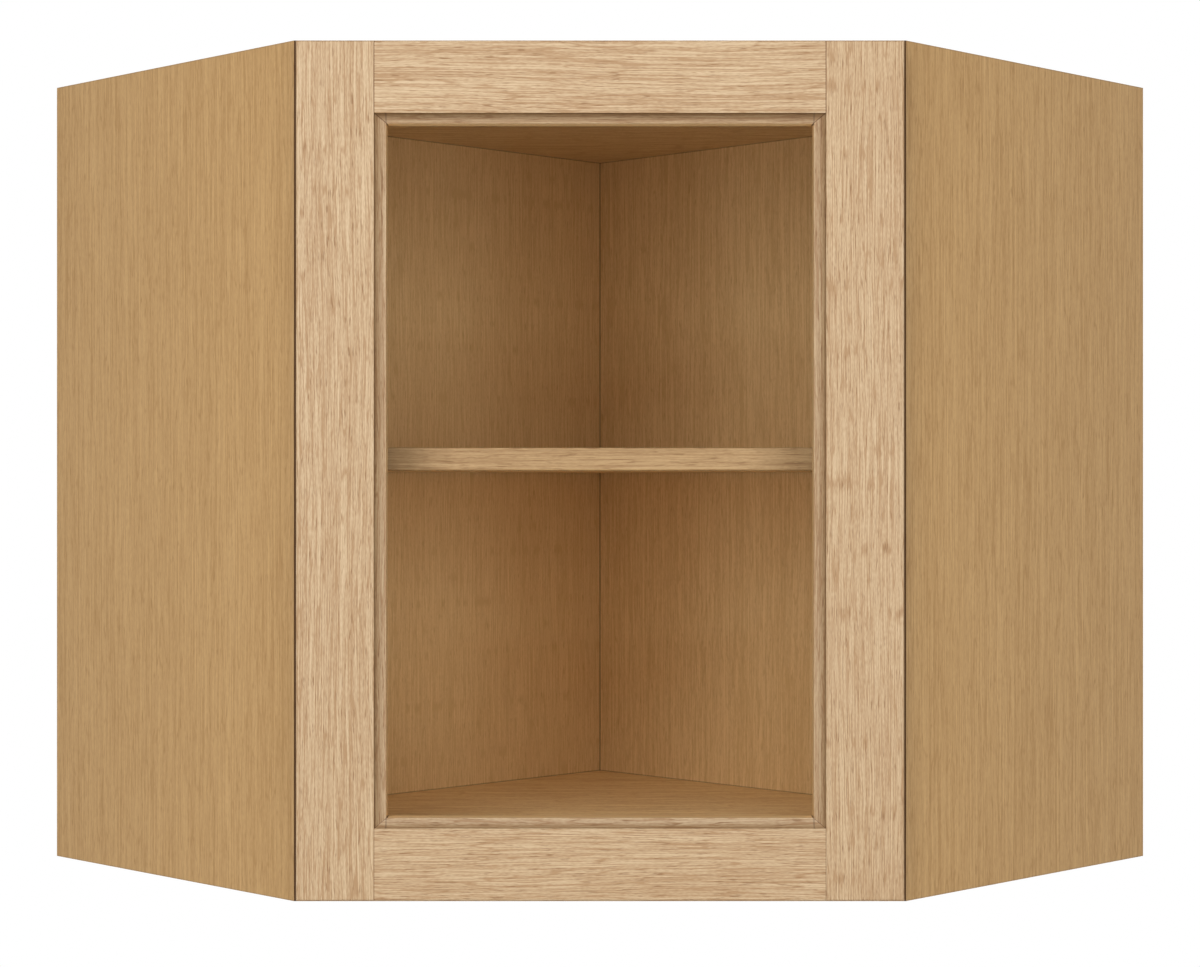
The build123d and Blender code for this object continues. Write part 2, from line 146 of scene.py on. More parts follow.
class CabinetFixingSizes(bpy.types.PropertyGroup):
    """Sizes of the hinges' screws and of the door's bumpers."""

    head_radius: length("Head radius", "Pan head of the hinge screws", 0.0035)
    arm_head_height: length("Arm screw head", "Height of the heads on the hinge arms", 0.0020)
    cup_head_height: length("Cup screw head", "Height of the heads on the hinge cups' wings", 0.0014)
    arm_spacing: length("Arm screw spacing", "Between the two screws of one arm", 0.026)
    cup_spacing: length("Cup screw spacing", "Between the two screws of one cup", 0.045)
    pitch: length("Thread pitch", "Rise of the thread in one turn", 0.0013)
    core_radius: length("Core radius", "Shank at the root of the thread", 0.00125)
    crest_radius: length("Crest radius", "Shank at the crest of the thread", 0.00175)
    point: length("Point", "Length of the screw's point", 0.003)
    recess_reach: length("Recess reach", "Arm of the crossed recess, from the middle", 0.0019)
    recess_width: length("Recess width", "Width of an arm of the recess", 0.0009)
    recess_depth: length("Recess depth", "Depth of the recess", 0.0009)
    bumper_radius: length("Bumper radius", "Foot of a door bumper", 0.005)


class CabinetOakColours(bpy.types.PropertyGroup):
    """Colours of the wood on each kind of board."""

    door_light: colour("Door light wood", "Pale wood between the growth rings of the door", 204, 178, 142)
    door_dark: colour("Door dark wood", "Growth rings of the door", 169, 134, 95)
    door_pore: colour("Door pores", "Open pores of the door's oak", 133, 97, 63)
    side_light: colour("Side light wood", "Pale wood of the side panels' veneer", 204, 165, 110)
    side_dark: colour("Side dark wood", "Growth rings of the side panels' veneer", 178, 138, 85)
    side_pore: colour("Side pores", "Open pores of the side panels' veneer", 150, 113, 71)
    # Painted light: the inside veneer is the side panels' wood written much lighter, to make up for the light that the
    # box keeps out.
    inside_light: colour("Inside light wood", "Pale wood of the veneer inside the box", 242, 210, 158)
    inside_dark: colour("Inside dark wood", "Growth rings of the veneer inside the box", 224, 189, 134)
    inside_pore: colour("Inside pores", "Open pores of the veneer inside the box", 184, 141, 93)
    # Painted light: the bottom panel's veneer is written lighter and less red than the back panels', and the top
    # panel's less red, to make up for the light and its warm bounce inside the box.
    floor_light: colour("Floor light wood", "Pale wood of the bottom panel's veneer", 252, 224, 172)
    floor_dark: colour("Floor dark wood", "Growth rings of the bottom panel's veneer", 232, 198, 144)
    ceiling_light: colour("Ceiling light wood", "Pale wood of the top panel's veneer", 234, 209, 166)
    ceiling_dark: colour("Ceiling dark wood", "Growth rings of the top panel's veneer", 214, 185, 140)
    strip_light: colour("Shelf light wood", "Pale wood of the shelf's front strip", 180, 147, 100)
    strip_dark: colour("Shelf dark wood", "Growth rings of the shelf's front strip", 155, 120, 76)
    strip_pore: colour("Shelf pores", "Open pores of the shelf's front strip", 130, 96, 60)
    raw_light: colour("Raw light wood", "Pale wood of the unseen rails and blocks", 222, 192, 150)
    raw_dark: colour("Raw dark wood", "Growth rings of the unseen rails and blocks", 196, 160, 114)
    # Painted shade: this colour is multiplied into the moulding's wood. It is darkest at the quirk, and strongest on
    # the top rail, whose moulding faces down.
    moulding_painted_shade: colour("Moulding's painted shade", "Painted shade multiplied into the wood of the moulding", 157, 134, 92)
    # Painted light: the bare square edge behind the moulding is written lighter to stand in for light that falls on it.
    square_edge_painted_light: colour("Door's square edge", "Painted light on the bare edge behind the door's moulding", 243, 206, 150)
    # Glue and shadow in the joints; the same colour is also painted shade in the back panels' corners and in the gap
    # beside the door.
    seam: colour("Seam", "Glue and shadow in the joints, and painted shade in corners and beside the door", 66, 38, 17)
    ply_light: colour("Ply light", "Light plies at a panel's edge", 205, 170, 125)
    ply_dark: colour("Ply dark", "Dark plies and glue lines at a panel's edge", 128, 90, 55)


class CabinetStudioSizes(bpy.types.PropertyGroup):
    """The camera, the lamps and the floor."""

    camera_back: length("Camera distance", "Camera in front of the origin", 2.0865)
    camera_height: length("Camera height", "Camera above the cabinet's lowest edge", 0.29765)
    lens: FloatProperty(name="Lens", description="Focal length on a 36 mm sensor", default=75.18, min=1.0,
                        subtype="DISTANCE_CAMERA")
    frame_shift: FloatProperty(name="Vertical shift", description="Camera shift, as a share of the picture's width",
                               default=-0.00217)
    floor_drop: length("Floor drop", "Floor below the cabinet, which hangs on a wall", 1.37)
    floor_reach: length("Floor reach", "Radius at which the floor has faded out", 5.0)
    front: share("Front light", "Strength of the even light of the room from in front", 0.05, 5.0)
    behind: share("Light behind", "Strength of the even light of the room from behind", 0.85, 5.0)
    key: FloatProperty(name="Key lamp", description="Power of the soft lamp high up in front", default=35.0,
                       min=0.0, subtype="POWER", unit="POWER")
    key_size: length("Key lamp size", "Side of the key lamp", 1.4)
    key_spot: FloatVectorProperty(name="Key lamp spot", description="Where the key lamp hangs", size=3,
                                  default=(-0.25, -2.5, 1.85), subtype="TRANSLATION", unit="LENGTH")
    aim_height: length("Aim height", "Height on the cabinet's face that all the lamps point at", 0.3)
    pair: FloatProperty(name="Pair of lamps", description="Power of each soft lamp beside the camera", default=27.5,
                        min=0.0, subtype="POWER", unit="POWER")
    pair_lean: share("Pair's lean", "How much stronger the left lamp is than the mean, and the right one weaker", 0.03)
    pair_distance: length("Pair's distance", "From the cabinet's face to each lamp beside the camera", 2.85)
    pair_width: length("Pair's width", "Width of each lamp beside the camera", 1.1)
    pair_height: length("Pair's height", "Height of each lamp beside the camera", 1.6)
    pair_angle: FloatProperty(name="Pair's angle", description="How far the lamps beside the camera stand to the side",
                              default=radians(22), subtype="ANGLE")
    pair_rise: FloatProperty(name="Pair's rise", description="How steeply those lamps stand above the height aimed at",
                             default=radians(0.3), subtype="ANGLE")


GROUPS = {
    "door": CabinetDoorSizes,
    "fixings": CabinetFixingSizes,
    "oak": CabinetOakColours,
    "studio": CabinetStudioSizes,
}


class CabinetSettings(bpy.types.PropertyGroup):
    """Everything that the cabinet's operators read."""

    door: PointerProperty(type=CabinetDoorSizes)
    fixings: PointerProperty(type=CabinetFixingSizes)
    oak: PointerProperty(type=CabinetOakColours)
    studio: PointerProperty(type=CabinetStudioSizes)


def settings():
    """The cabinet's settings on the open scene."""
    return bpy.context.scene.corner_cabinet


def piece(name, points, faces, values=None):
    """A closed mesh object from an (n, 3) array of points in metres and (m, 4) or (m, 3) arrays of corner numbers.

    Doubled points are joined and the faces turned outwards. values, one per point, become the float attribute "stain":
    painted shade and light on the door's moulding, and the darkness of its joints.
    """
    mesh = bpy.data.meshes.new(name)
    mesh.from_pydata(points, [], [face for block in faces for face in np.asarray(block).tolist()])
    if values is not None:
        attribute = mesh.attributes.new("stain", "FLOAT", "POINT")
        attribute.data.foreach_set("value", np.asarray(values, np.float32))
    shape = bmesh.new()
    shape.from_mesh(mesh)
    bmesh.ops.remove_doubles(shape, verts=shape.verts, dist=1e-6)
    bmesh.ops.recalc_face_normals(shape, faces=shape.faces)
    shape.to_mesh(mesh)
    shape.free()
    thing = bpy.data.objects.new(name, mesh)
    bpy.context.scene.collection.objects.link(thing)
    return thing


def smooth(thing, angle=35):
    """Shades a piece smooth, keeps its edges over the angle sharp and lets the large faces lead the normals."""
    thing.data.polygons.foreach_set("use_smooth", np.ones(len(thing.data.polygons), bool))
    thing.data.set_sharp_from_angle(angle=radians(angle))
    weighted = thing.modifiers.new("Even faces", "WEIGHTED_NORMAL")
    weighted.keep_sharp = True
    return thing


def place(thing, body, slot, *nodes):
    """Hands a finished piece to its body in place of the nodes it stands for, which it hides; slot is not used."""
    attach(thing, body)
    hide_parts(*nodes)


def ring_wall(rows, columns, first=0):
    """Quads between rows of a closed ring: corner (i, j) joins (i, j+1), (i+1, j+1) and (i+1, j), and j wraps round."""
    i, j = np.meshgrid(np.arange(rows - 1), np.arange(columns), indexing="ij")
    after = (j + 1) % columns
    quads = np.stack([i * columns + j, i * columns + after, (i + 1) * columns + after, (i + 1) * columns + j], -1)
    return quads.reshape(-1, 4) + first


def rounded(distance, radius):
    """How far a quarter round has fallen back at a distance from its face: r - sqrt(r^2 - (r - d)^2)."""
    inside = np.clip(radius - distance, 0, radius)
    return radius - np.sqrt(radius ** 2 - inside ** 2)


def door_profile(sizes, thickness):
    """The door's edges at each depth w from its face: share of the moulding's width, rounding, outer edge and painted
    light.

    The moulded edge is a straight quirk, then a cove that ends level with the face at the moulding's depth d. Its
    share of the width is R sin(f) / m, where 1 - cos(f) = (d - w) / R and R = (m^2 + h^2) / 2h for the stiles' width m
    and a height h below the quirk. Quarter rounds break every arris. The last value is painted shade in the moulding:
    1 at the quirk's foot, and thinning out over the cove; it is -1 on the bare square edge behind the moulding, which
    is painted lighter.
    """
    width, depth, quirk, arris = sizes.stile_moulding, sizes.moulding_depth, sizes.quirk_depth, sizes.arris
    fall = depth - quirk
    bend = (width ** 2 + fall ** 2) / (2 * fall)
    turn = np.linspace(0, pi / 2, 7)
    sweep = np.linspace(np.arcsin(width / bend), np.arcsin(arris / bend), 15)
    levels = np.unique(np.round(np.concatenate([
        sizes.edge_radius * (1 - np.cos(turn)),
        arris * (1 - np.cos(turn[::2])),
        [quirk - arris],
        depth - bend * (1 - np.cos(sweep)),
        depth + arris * np.sin(turn[::2]),
        thickness - sizes.back_arris * (1 - np.sin(turn[::2])),
    ]), 7))
    cove = bend * np.sin(np.arccos(np.clip(1 - (depth - levels) / bend, -1, 1))) / width
    part = np.where(levels < quirk - 1e-9, 1.0, np.where(levels > depth, 0.0, cove))
    back = rounded(thickness - levels, sizes.back_arris)
    rounding = rounded(levels, arris) + back + np.where(levels > depth, rounded(levels - depth, arris), 0)
    outer = rounded(levels, sizes.edge_radius) + back
    # Painted shade over the cove, strongest next to the quirk; inside the quirk it rises from the face to its foot.
    painted_shade = 0.3 + 0.3 * part + 0.4 * np.exp((part - 1) * width / sizes.shade_reach)
    stain = np.where(levels < quirk, levels / quirk, painted_shade)
    bare = (levels > depth + arris) & (levels < thickness - sizes.back_arris)
    return levels, part, rounding, outer, np.where(levels < depth, stain, -1.0 * bare)


def door_member(name, levels, across, along, upright, joint, stain):
    """A door member as a stack of outlines, one for each depth.

    across is (depths, 2): the outer and the moulded edge; along is (depths, 2): the two ends. Each outline is a ring of
    eight points, the ends' points doubled a little way in. joint is how dark the ends' joints are at each depth, and
    stain the painted shade and light on the moulded edge there.
    """
    margin = settings().door.joint_margin
    marks = np.stack([along[:, 0], along[:, 0] + margin, along[:, 1] - margin, along[:, 1]], 1)
    ring_along = np.concatenate([marks, marks[:, ::-1]], 1)
    ring_across = np.repeat(across, 4, axis=1)
    depth = np.repeat(stile_low[1] + levels[:, None], 8, axis=1)
    order = (ring_across, depth, ring_along) if upright else (ring_along, depth, ring_across)
    points = np.stack(order, -1).reshape(-1, 3)
    at_end, at_moulding = np.array([1, 0, 0, 1, 1, 0, 0, 1]), np.repeat([0, 1], 4)
    dark = joint[:, None] * at_end + stain[:, None] * at_moulding * (1 - at_end)
    cap = np.array([[0, 1, 6, 7], [1, 2, 5, 6], [2, 3, 4, 5]])
    last = (len(levels) - 1) * 8
    return piece(name, points, [ring_wall(len(levels), 8), cap, cap[:, ::-1] + last], dark.ravel())


def screw_surface(sizes, head_height, reach, turn):
    """A pan head screw as a grid of rows from its point to the middle of its head, its axis along the last coordinate.

    The radius grows along the point, then is the core's plus the thread's ridge, 1 - |p - 1/2| / 0.24 where that is
    above zero and p is the fraction of a turn z / pitch - a / 2 pi. The head's height over its seat is
    h sqrt(1 - (r / R)^3), less the crossed recess: two slots at right angles, with soft edges.
    """
    soft_edge, thinnest = 0.0002, 0.0001
    angle = np.linspace(0, 2 * pi, 40, endpoint=False)[None, :]
    point = np.linspace(0, 1, 6)[:-1]
    rise = np.arange(sizes.point - reach, -soft_edge, sizes.pitch / 7)
    rim = sizes.crest_radius + (sizes.head_radius - sizes.crest_radius) * np.array([0, 0.5, 0.96])
    across = sizes.head_radius * np.concatenate([[1.0, 0.995, 0.98], np.linspace(0.95, 0, 26)])
    radius = np.concatenate([sizes.core_radius * np.sqrt(point), np.full(len(rise), sizes.core_radius), rim, across])
    height = np.concatenate([sizes.point * point - reach, rise, np.zeros(len(rim) + len(across))])
    turned = (height[:, None] / sizes.pitch - angle / (2 * pi)) % 1
    ridge = np.clip(1 - np.abs(turned - 0.5) / 0.24, 0, None) * (sizes.crest_radius - sizes.core_radius)
    on_shank = np.zeros(len(radius))
    on_shank[2:len(point) + len(rise)] = 1
    radius = radius[:, None] + ridge * on_shank[:, None]
    dome = head_height * np.sqrt(1 - np.clip(across / sizes.head_radius, 0, 1) ** 3)
    one, other = radius * np.cos(angle + turn), radius * np.sin(angle + turn)

    def slot(beside, along):
        """One slot of the recess: 1 inside it and 0 outside."""
        return (np.clip((sizes.recess_width / 2 - np.abs(beside)) / soft_edge + 0.5, 0, 1)
                * np.clip((sizes.recess_reach - np.abs(along)) / soft_edge + 0.5, 0, 1))

    recess = sizes.recess_depth * np.maximum(slot(one, other), slot(other, one))
    last = len(across)
    height = np.repeat(height[:, None], angle.size, axis=1)
    height[-last:] = np.maximum(dome[:, None] - recess[-last:], thinnest)
    return np.stack([radius * np.cos(angle), radius * np.sin(angle), height], -1)


def bumper_surface(radius, height):
    """A soft dome on a flat foot, rows from the foot's middle to the crown: (r / R)^2.6 + (h / H)^2.6 = 1 above it."""
    angle = np.linspace(0, 2 * pi, 48, endpoint=False)[None, :]
    turn, bulge = np.linspace(0, pi / 2, 20), 2 / 2.6
    across = np.concatenate([[0, 0.5], np.cos(turn) ** bulge])[:, None] * radius
    up = np.concatenate([[0, 0], np.sin(turn) ** bulge])[:, None] * height
    return np.stack([across * np.cos(angle), across * np.sin(angle), up + 0 * angle], -1)


def copies(name, surfaces):
    """One piece made of several closed grids of rows and columns, each an array of its own."""
    points, faces, first = [], [], 0
    for grid in surfaces:
        points.append(grid.reshape(-1, 3))
        faces.append(ring_wall(*grid.shape[:2], first))
        first += len(points[-1])
    return piece(name, np.concatenate(points), faces)


def cut_bores(thing, centres, radius, depth, back):
    """Bores round holes from a plane y = back towards the front: a circle of points round each centre (x, z)."""
    count, clear = 64, 0.004
    angle, corners = np.linspace(0, 2 * pi, count, endpoint=False), np.arange(count)
    for x, z in centres:
        ring = np.stack([x + radius * np.cos(angle), np.full(count, back - depth), z + radius * np.sin(angle)], 1)
        rim = ring + np.array([0, depth + clear, 0])
        cutter = piece("bore", np.concatenate([ring, rim]), [ring_wall(2, count), [corners], [corners + count]])
        bore = thing.modifiers.new("Bore", "BOOLEAN")
        bore.operation, bore.solver, bore.object = "DIFFERENCE", "EXACT", cutter
        graph = bpy.context.evaluated_depsgraph_get()
        mesh = bpy.data.meshes.new_from_object(thing.evaluated_get(graph))
        thing.modifiers.clear()
        thing.data = mesh
        bpy.data.objects.remove(cutter)


def add_node(tree, kind, **values):
    """A shader node, with its own settings and the defaults of its named sockets."""
    made = tree.nodes.new(kind)
    for key, value in values.items():
        if key.startswith("in_"):
            made.inputs[key[3:]].default_value = value
        else:
            setattr(made, key, value)
    return made


def feed(tree, sockets, values):
    """Links each value that is a socket to its input, and writes each plain one there."""
    for socket, value in zip(sockets, values):
        if isinstance(value, bpy.types.NodeSocket):
            tree.links.new(value, socket)
        else:
            socket.default_value = value


def math_node(tree, operation, *values, clamp=False):
    """A Math node whose inputs are sockets or plain numbers, and its result."""
    made = add_node(tree, "ShaderNodeMath", operation=operation, use_clamp=clamp)
    feed(tree, made.inputs, values)
    return made.outputs[0]


def times(tree, first, second, clamp=False):
    """The product of two values."""
    return math_node(tree, "MULTIPLY", first, second, clamp=clamp)


def vector_math(tree, operation, *values):
    """A Vector Math node whose inputs are sockets or plain vectors, and its results."""
    made = add_node(tree, "ShaderNodeVectorMath", operation=operation)
    feed(tree, made.inputs, values)
    return made.outputs


def parts(tree, vector):
    """The x, y and z of a vector."""
    made = tree.nodes.new("ShaderNodeSeparateXYZ")
    tree.links.new(vector, made.inputs[0])
    return made.outputs


def stretched(tree, vector, *lengths):
    """A vector divided by three lengths, for a pattern that is as long as each of them."""
    scale = tree.nodes.new("ShaderNodeCombineXYZ")
    feed(tree, scale.inputs, lengths)
    return vector_math(tree, "DIVIDE", vector, scale.outputs[0])[0]


def noise(tree, vector, detail):
    """The value of a Noise Texture at a vector."""
    made = add_node(tree, "ShaderNodeTexNoise", in_Scale=1.0, in_Detail=detail)
    tree.links.new(vector, made.inputs["Vector"])
    return made.outputs["Fac"]


def cloud_on_object(tree, detail, *lengths):
    """A noise on the object's own coordinates, as long as each of three lengths in metres."""
    return noise(tree, stretched(tree, tree.nodes.new("ShaderNodeTexCoord").outputs["Object"], *lengths), detail)


def ramp(tree, value, low, high, smoothed=False):
    """A value mapped from low..high to 0..1 and held there."""
    made = add_node(tree, "ShaderNodeMapRange", interpolation_type="SMOOTHSTEP" if smoothed else "LINEAR", clamp=True)
    feed(tree, (made.inputs[name] for name in ("Value", "From Min", "From Max")), (value, low, high))
    return made.outputs["Result"]


def mixed(tree, factor, first, second, blend="MIX"):
    """Two colours mixed by a factor."""
    made = add_node(tree, "ShaderNodeMix", data_type="RGBA", blend_type=blend)
    feed(tree, (made.inputs[0], made.inputs[6], made.inputs[7]), (factor, first, second))
    return made.outputs[2]


def new_group(name, inputs, outputs):
    """An empty shader node group, the sockets that it is given and those that it fills."""
    tree = bpy.data.node_groups.new(name, "ShaderNodeTree")
    for label, kind, default in inputs:
        made = tree.interface.new_socket(label, in_out="INPUT", socket_type=kind)
        if default is not None:
            made.default_value = default
    for label, kind in outputs:
        tree.interface.new_socket(label, in_out="OUTPUT", socket_type=kind)
    return tree, tree.nodes.new("NodeGroupInput").outputs, tree.nodes.new("NodeGroupOutput").inputs


def oak_group():
    """Oak grain on a board: in millimetres, x lies across the board, y through it and z along its grain.

    Three noises about a ring wide, long, middling and short along the grain, add up to growth rings that come and go,
    and a broad one varies the whole board. Thin dark lines follow where a fifth one crosses zero. Slow and quick bends
    carry them aside. The open pores are short dashes that gather in the dark rings.
    """
    if "Oak grain" in bpy.data.node_groups:
        return bpy.data.node_groups["Oak grain"]
    tree, given, result = new_group("Oak grain", [
        ("Board", "NodeSocketVector", None),
        ("Light", "NodeSocketColor", (0.7, 0.5, 0.3, 1)),
        ("Dark", "NodeSocketColor", (0.5, 0.3, 0.15, 1)),
        ("Pore", "NodeSocketColor", (0.3, 0.2, 0.1, 1)),
        ("Ring Width", "NodeSocketFloat", 1.5),
        ("Waviness", "NodeSocketFloat", 1.0),
        ("Contrast", "NodeSocketFloat", 1.0),
        ("Pore Strength", "NodeSocketFloat", 0.6),
    ], [("Color", "NodeSocketColor"), ("Height", "NodeSocketFloat"), ("Roughness", "NodeSocketFloat")])
    board, width = given["Board"], given["Ring Width"]

    def centred(vector, across, along):
        """A noise about zero, as wide across and as long along the grain as asked."""
        return math_node(tree, "SUBTRACT", noise(tree, stretched(tree, vector, across, 4.0, along), 0.0), 0.5)

    slow = centred(board, 45.0, 260.0)
    quick = centred(board, 7.0, 34.0)
    drift = math_node(tree, "ADD", times(tree, slow, 16.0), times(tree, quick, 2.2))
    shift = tree.nodes.new("ShaderNodeCombineXYZ")
    tree.links.new(times(tree, drift, given["Waviness"]), shift.inputs[0])
    bent = vector_math(tree, "ADD", board, shift.outputs[0])[0]
    body = 0.5
    # Each wave's strength, its width in growth rings and its length in millimetres.
    for weight, across, along in ((2.1, 1.0, 110.0), (1.4, 0.8, 24.0), (1.3, 0.6, 3.4), (0.45, 12.0, 400.0)):
        wave = centred(bent, times(tree, width, across), along)
        wave = times(tree, wave, weight)
        body = math_node(tree, "ADD", times(tree, wave, given["Contrast"]), body)
    crest = math_node(tree, "ABSOLUTE", centred(bent, times(tree, width, 2.3), 46.0))
    crest = times(tree, ramp(tree, crest, 0.06, 0.0), given["Contrast"])
    body = ramp(tree, math_node(tree, "SUBTRACT", body, crest), 0.0, 1.0)
    pore_width, pore_length = 0.8, 11.0
    dashes = noise(tree, stretched(tree, bent, pore_width, pore_width, pore_length), 0.0)
    dashes = ramp(tree, dashes, 0.62, 0.74, True)
    dashes = times(tree, dashes, ramp(tree, body, 0.85, 0.25))
    wood = mixed(tree, body, given["Dark"], given["Light"])
    wood = mixed(tree, times(tree, dashes, given["Pore Strength"]), wood, given["Pore"])
    height = math_node(tree, "SUBTRACT", times(tree, body, 0.4), times(tree, dashes, 0.6))
    rough = math_node(tree, "ADD", times(tree, dashes, 0.15), times(tree, body, -0.08))
    feed(tree, result, (wood, height, math_node(tree, "ADD", rough, 0.56)))
    return tree


def line_group():
    """A mask of thin lines: 1 at each of two places along a value, falling to 0 a width away."""
    if "Thin lines" in bpy.data.node_groups:
        return bpy.data.node_groups["Thin lines"]
    tree, given, result = new_group("Thin lines", [
        ("Value", "NodeSocketFloat", 0.0),
        ("First", "NodeSocketFloat", 0.0),
        ("Second", "NodeSocketFloat", 1.0),
        ("Width", "NodeSocketFloat", 1.0),
    ], [("Mask", "NodeSocketFloat")])
    masks = []
    for label in ("First", "Second"):
        away = math_node(tree, "ABSOLUTE", math_node(tree, "SUBTRACT", given["Value"], given[label]))
        away = math_node(tree, "DIVIDE", away, given["Width"])
        masks.append(math_node(tree, "SUBTRACT", 1.0, away, clamp=True))
    feed(tree, result, [math_node(tree, "MAXIMUM", *masks)])
    return tree


def line_mask(tree, place_on, axis, first, second, width, darkness):
    """Two thin lines across an object, at two distances in millimetres along an axis."""
    along_axis = vector_math(tree, "DOT_PRODUCT", place_on, Vector(axis) / MM)["Value"]
    thin = add_node(tree, "ShaderNodeGroup", node_tree=line_group())
    feed(tree, thin.inputs, (along_axis, first, second, width))
    return times(tree, thin.outputs["Mask"], darkness)


def board_turn(across, along):
    """The turn that brings a board's width to x, its thickness to y and its grain to z."""
    across, along = Vector(across).normalized(), Vector(along).normalized()
    return Matrix((across, along.cross(across), along)).to_euler("XYZ")


def principled(name):
    """A new node material, its tree and its Principled shader."""
    material = bpy.data.materials.new(name)
    material.use_nodes = True
    shader = next(n for n in material.node_tree.nodes if n.type == "BSDF_PRINCIPLED")
    return material, material.node_tree, shader


def coat(tree, shader, tone, rough):
    """Gives a shader its colour and its roughness."""
    feed(tree, (shader.inputs["Base Color"], shader.inputs["Roughness"]), (tone, rough))


def raise_surface(tree, shader, height, strength, distance):
    """Bumps a shader's surface by a height."""
    bump = add_node(tree, "ShaderNodeBump", in_Strength=strength, in_Distance=distance)
    tree.links.new(height, bump.inputs["Height"])
    tree.links.new(bump.outputs[0], shader.inputs["Normal"])


def oak(name, light, dark, pore, across, along, seed, ring=0.8, wave=0.5, contrast=0.66, strength=0.6, lines=(),
        ply=False, shade_strength=0.0, cope=None, reveal=None, relief=0.25):
    """Oiled oak for one board, with its grain along the board and its own piece of the pattern.

    lines are (axis, first, second, width, darkness) of dark lines in millimetres in the object's own axes, where the
    axis is a direction; they draw seams and painted shade in corners. ply shows the plies on the board's edges. stained
    sets the painted shade that the piece's attribute lays on the moulding, which also darkens its joints and paints its
    square edge lighter; cope adds a dark joint line on the shaded edge alone, and reveal paints a matt shadow on the
    edge that faces the door.
    """
    colours = settings().oak
    material, tree, shader = principled(name)
    coordinates = tree.nodes.new("ShaderNodeTexCoord")
    place_on, normal = coordinates.outputs["Object"], coordinates.outputs["Normal"]
    turn, metre = board_turn(across, along), 1 / MM
    board = add_node(tree, "ShaderNodeMapping", in_Rotation=turn, in_Scale=(metre, metre, metre),
                     in_Location=[seed * step for step in PATTERN_STEP])
    tree.links.new(place_on, board.inputs["Vector"])
    grain = add_node(tree, "ShaderNodeGroup", node_tree=oak_group())
    tints = [(*tint, 1) for tint in (light, dark, pore)]
    feed(tree, grain.inputs, (board.outputs[0], *tints, ring, wave, contrast, strength))
    tone = grain.outputs["Color"]
    seam = (*colours.seam, 1)
    facing = add_node(tree, "ShaderNodeMapping", vector_type="VECTOR", in_Rotation=turn)
    tree.links.new(normal, facing.inputs["Vector"])
    sides = parts(tree, facing.outputs[0])
    if ply:
        ply_thickness = 1.4
        bands = math_node(tree, "PINGPONG", parts(tree, board.outputs[0])[1], ply_thickness)
        bands = mixed(tree, ramp(tree, bands, 0.5, 0.9), (*colours.ply_dark, 1), (*colours.ply_light, 1))
        edge = math_node(tree, "LESS_THAN", math_node(tree, "ABSOLUTE", sides[1]), 0.6)
        tone = mixed(tree, edge, tone, mixed(tree, 0.5, bands, tone, "MULTIPLY"))
    else:
        end_darkness = 0.45
        end = ramp(tree, math_node(tree, "ABSOLUTE", sides[2]), 0.5, 0.8)
        tone = mixed(tree, times(tree, end, end_darkness), tone, (*pore, 1))
    for line in lines:
        tone = mixed(tree, line_mask(tree, place_on, *line), tone, seam)
    # Painted shade in the moulding, the dark joints and a square edge painted lighter, all read from the piece's
    # attribute.
    if shade_strength:
        marked = add_node(tree, "ShaderNodeAttribute", attribute_name="stain").outputs["Fac"]
        painted_shade = times(tree, ramp(tree, marked, 0.0, 1.0), shade_strength)
        tone = mixed(tree, painted_shade, tone, (*colours.moulding_painted_shade, 1), "MULTIPLY")
        tone = mixed(tree, ramp(tree, marked, 1.0, 2.2), tone, seam)
        tone = mixed(tree, ramp(tree, marked, 0.0, -1.0), tone, (*colours.square_edge_painted_light, 1))
    if cope:
        on_edge = times(tree, line_mask(tree, place_on, *cope), ramp(tree, marked, 0, 0.1))
        tone = mixed(tree, on_edge, tone, seam)
    rough = grain.outputs["Roughness"]
    # Painted shadow in the gap between the box's front edge and the door, made matt so that it shows no sheen.
    if reveal:
        steepness, darkest = 3.0, 0.92
        facing_door = ramp(tree, parts(tree, normal)[1], -0.85, -0.95)
        in_gap = times(tree, line_mask(tree, place_on, *reveal), steepness, clamp=True)
        shadow = times(tree, facing_door, in_gap)
        tone = mixed(tree, times(tree, shadow, darkest), tone, seam)
        rough = math_node(tree, "MAXIMUM", rough, shadow)
    coat(tree, shader, tone, rough)
    raise_surface(tree, shader, grain.outputs["Height"], relief, 0.0003)
    return material


def steel(name, shine, tint):
    """Plated steel: a metal whose roughness and tint vary with a fine cloud, and faint drawn marks."""
    material, tree, shader = principled(name)
    cloud = cloud_on_object(tree, 3, 0.004, 0.004, 0.004)
    marks = cloud_on_object(tree, 2, 0.0003, 0.0003, 0.006)
    darkening = 0.72
    light, dark = (*tint, 1), (*(darkening * c for c in tint), 1)
    rough = math_node(tree, "ADD", times(tree, cloud, 0.16), shine)
    rough = math_node(tree, "ADD", rough, times(tree, marks, 0.06))
    coat(tree, shader, mixed(tree, ramp(tree, cloud, 0.3, 0.7), dark, light), rough)
    shader.inputs["Metallic"].default_value = 1.0
    raise_surface(tree, shader, marks, 0.08, 0.0001)
    return material


def rubber(name):
    """Soft clear-grey bumper: mottled, half matt."""
    material, tree, shader = principled(name)
    cloud = cloud_on_object(tree, 3, 0.0012, 0.0012, 0.0012)
    tone = mixed(tree, ramp(tree, cloud, 0.3, 0.7), (*srgb(150, 148, 142), 1), (*srgb(178, 176, 170), 1))
    coat(tree, shader, tone, math_node(tree, "ADD", times(tree, cloud, 0.2), 0.3))
    return material


def finish_node(node, material):
    """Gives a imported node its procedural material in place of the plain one."""
    thing = frame["nodes"][node]
    thing.data.materials.clear()
    thing.data.materials.append(material)


def wood_set(kind):
    """The light, dark and pore colours of one kind of wood."""
    colours = settings().oak
    pores = {"raw": "door", "floor": "inside", "ceiling": "inside"}.get(kind, kind)
    return getattr(colours, kind + "_light"), getattr(colours, kind + "_dark"), getattr(colours, pores + "_pore")


class CabinetOperator:
    """What the cabinet's operators have in common."""

    bl_options = {"REGISTER", "UNDO"}


